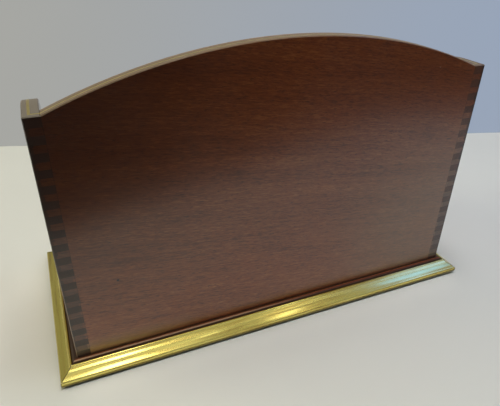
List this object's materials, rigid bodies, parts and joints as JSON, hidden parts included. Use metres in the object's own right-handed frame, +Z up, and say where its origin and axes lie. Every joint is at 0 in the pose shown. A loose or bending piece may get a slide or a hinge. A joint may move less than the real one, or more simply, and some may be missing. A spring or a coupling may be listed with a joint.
{
  "type": "letter box",
  "caption": "Open mahogany desk letter box: arched back and front panels, finger-jointed ogee sides, stepped dividers and a mitred brass moulding round the base.",
  "frame": {"origin": "centre of the underside of the baize, on the desk", "axes": "+X along the box, +Y towards the tall back panel, +Z up; the user faces the front, at -Y"},
  "size_m": [0.3464, 0.1634, 0.2204],
  "materials": {
    "mahogany": "french polished",
    "brass": "polished",
    "screw_steel": "bright",
    "baize": "napped"
  },
  "bodies": {
    "root": {"back_panel": "mahogany", "front_panel": "mahogany", "left_side": "mahogany", "right_side": "mahogany", "rear_divider": "mahogany", "front_divider": "mahogany", "base_board": "mahogany", "rear_moulding": "brass", "front_moulding": "brass", "left_moulding": "brass", "right_moulding": "brass", "rear_stringing": "brass", "front_stringing": "brass", "left_stringing": "brass", "right_stringing": "brass", "base_screws": "screw_steel", "moulding_brads": "screw_steel", "baize_pad": "baize"}
  },
  "joints": []
}
